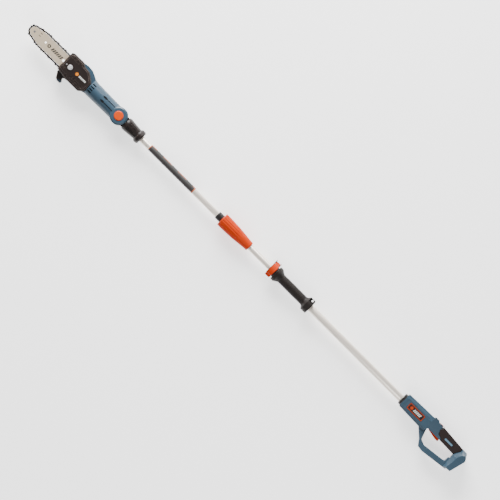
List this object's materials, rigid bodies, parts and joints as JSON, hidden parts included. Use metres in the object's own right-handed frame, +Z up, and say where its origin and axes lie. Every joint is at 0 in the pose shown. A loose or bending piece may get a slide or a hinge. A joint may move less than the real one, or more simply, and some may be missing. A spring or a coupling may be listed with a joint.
{
  "type": "telescoping pole saw",
  "caption": "Telescoping pole saw: tilting chain-saw head on a two-stage pole with cam clamp, foregrip and D-handle with trigger and empty battery dock.",
  "frame": {"origin": "centre of the bounding box's bottom face, under the tool as it lies on its right side", "axes": "+X along the pole from the saw head to the battery foot, +Y towards the tool's top, +Z up towards the tool's left side"},
  "size_m": [2.3068, 0.1382, 0.076],
  "materials": {
    "shell_plastic": "moulded, fine grain",
    "dark_plastic": "moulded, fine grain",
    "cover_plastic": "moulded, fine grain",
    "orange_plastic": "smooth",
    "grip_rubber": "soft overmould",
    "foregrip_rubber": "soft overmould",
    "inlay_plastic": "satin",
    "badge_plastic": "satin with printed border",
    "label_film": "printed film",
    "tube_aluminium": "brushed along its length",
    "bar_steel": "satin",
    "chain_steel": "oiled",
    "bright_steel": "zinc plated",
    "dark_steel": "blackened",
    "gear_steel": "ground",
    "copper": "wound and varnished",
    "board": "printed circuit board",
    "tank_plastic": "translucent"
  },
  "bodies": {
    "handle": {"handle_shell_left": "shell_plastic", "handle_shell_right": "shell_plastic", "handle_screws": "dark_steel", "rear_grip_sleeve": "grip_rubber", "grip_inlay": "inlay_plastic", "handle_badge": "badge_plastic", "tube_boot": "dark_plastic", "outer_tube": "tube_aluminium", "front_bushing": "dark_plastic", "foregrip": "foregrip_rubber", "clamp_collar": "dark_plastic", "clamp_hardware": "bright_steel", "trigger_pin": "bright_steel", "trigger_spring": "bright_steel", "lock_off_spring": "bright_steel", "power_switch": "dark_plastic", "control_board": "board", "battery_terminal_block": "dark_plastic", "terminal_blades": "bright_steel"},
    "clamp_lever": {"clamp_lever": "orange_plastic"},
    "trigger": {"trigger": "orange_plastic"},
    "lock_off_slider": {"lock_off_slider": "orange_plastic"},
    "pole": {"inner_tube": "tube_aluminium", "inner_tube_guide": "dark_plastic", "coupling_receiver": "dark_plastic", "coupling_spigot": "dark_plastic", "upper_tube": "tube_aluminium", "tube_label": "label_film", "pivot_socket": "dark_plastic"},
    "coupling_sleeve": {"coupling_sleeve": "orange_plastic"},
    "head": {"head_shell_left": "shell_plastic", "head_shell_right": "shell_plastic", "head_screws": "dark_steel", "sprocket_cover": "cover_plastic", "cover_badge": "orange_plastic", "branch_hook": "dark_plastic", "bar_stud": "bright_steel", "oil_tank": "tank_plastic", "oil_pump": "dark_plastic", "gearbox_housing": "gear_steel", "head_bearings": "gear_steel", "motor_can": "dark_steel", "motor_magnets": "dark_steel", "pivot_axle": "bright_steel", "button_spring": "bright_steel"},
    "pivot_button": {"pivot_button": "orange_plastic"},
    "bar": {"guide_bar": "bar_steel", "chain": "chain_steel", "nose_rivet": "bright_steel", "tension_pin": "bright_steel"},
    "nose_sprocket": {"nose_sprocket": "gear_steel"},
    "bar_nut": {"bar_nut": "bright_steel"},
    "tension_screw": {"tension_screw": "bright_steel"},
    "oil_cap": {"oil_cap": "orange_plastic"},
    "motor_rotor": {"motor_armature": "copper", "bevel_pinion": "gear_steel", "cooling_fan": "dark_plastic"},
    "spindle": {"drive_spindle": "gear_steel", "bevel_gear": "gear_steel", "drive_sprocket": "gear_steel"}
  },
  "joints": [
    {"name": "pole_extend", "type": "slide", "parent": "handle", "child": "pole", "axis": [1, 0, 0], "range_m": [-0.45, 0.1]},
    {"name": "clamp_release", "type": "hinge", "parent": "handle", "child": "clamp_lever", "pos_m": [0.134, 0.04475, 0.038], "axis": [-1, 0, 0], "range_deg": [0, 120]},
    {"name": "sleeve_turn", "type": "hinge", "parent": "pole", "child": "coupling_sleeve", "pos_m": [-0.06, 0.01575, 0.038], "axis": [1, 0, 0], "range_deg": [0, 90]},
    {"name": "head_tilt", "type": "hinge", "parent": "pole", "child": "head", "pos_m": [-0.681, 0.01575, 0.038], "axis": [0, 0, 1], "range_deg": [0, 60]},
    {"name": "pivot_button_press", "type": "slide", "parent": "head", "child": "pivot_button", "axis": [0, 0, -1], "range_m": [0, 0.004], "stiffness_N_per_m": 900, "deforming": ["button_spring"]},
    {"name": "bar_tension", "type": "slide", "parent": "head", "child": "bar", "axis": [-1, 0, 0], "range_m": [0, 0.003]},
    {"name": "tension_screw_turn", "type": "hinge", "parent": "head", "child": "tension_screw", "pos_m": [-0.955, 0.01575, 0.058], "axis": [0, 0, 1], "range_deg": [0, 1351]},
    {"name": "motor_spin", "type": "hinge", "parent": "head", "child": "motor_rotor", "pos_m": [-0.77, 0.01675, 0.03], "axis": [1, 0, 0], "continuous": true},
    {"name": "spindle_spin", "type": "hinge", "parent": "head", "child": "spindle", "pos_m": [-0.8867, 0.01675, 0.038], "axis": [0, 0, 1], "continuous": true, "deforming": ["chain"]},
    {"name": "nose_spin", "type": "hinge", "parent": "bar", "child": "nose_sprocket", "pos_m": [-1.1275, 0.01675, 0.058], "axis": [0, 0, 1], "continuous": true},
    {"name": "bar_nut_turn", "type": "hinge", "parent": "head", "child": "bar_nut", "pos_m": [-0.937, 0.01575, 0.072], "axis": [0, 0, 1], "range_deg": [0, 360]},
    {"name": "oil_cap_turn", "type": "hinge", "parent": "head", "child": "oil_cap", "pos_m": [-0.934, 0.03575, 0.008], "axis": [0, 0, -1], "range_deg": [0, 90]},
    {"name": "trigger_pull", "type": "hinge", "parent": "handle", "child": "trigger", "pos_m": [0.975, 0.01275, 0.038], "axis": [0, 0, 1], "range_deg": [0, 8], "stiffness_Nm_per_rad": 0.8, "deforming": ["trigger_spring"]},
    {"name": "lock_off_slide", "type": "slide", "parent": "handle", "child": "lock_off_slider", "axis": [-1, 0, 0], "range_m": [0, 0.004], "stiffness_N_per_m": 400, "deforming": ["lock_off_spring"]}
  ],
  "couplings": [
    {"joint": "spindle_spin", "follows": "motor_spin", "ratio": 0.6},
    {"joint": "nose_spin", "follows": "motor_spin", "ratio": 0.51429},
    {"joint": "tension_screw_turn", "follows": "bar_tension", "rad_per_m": 7854}
  ]
}
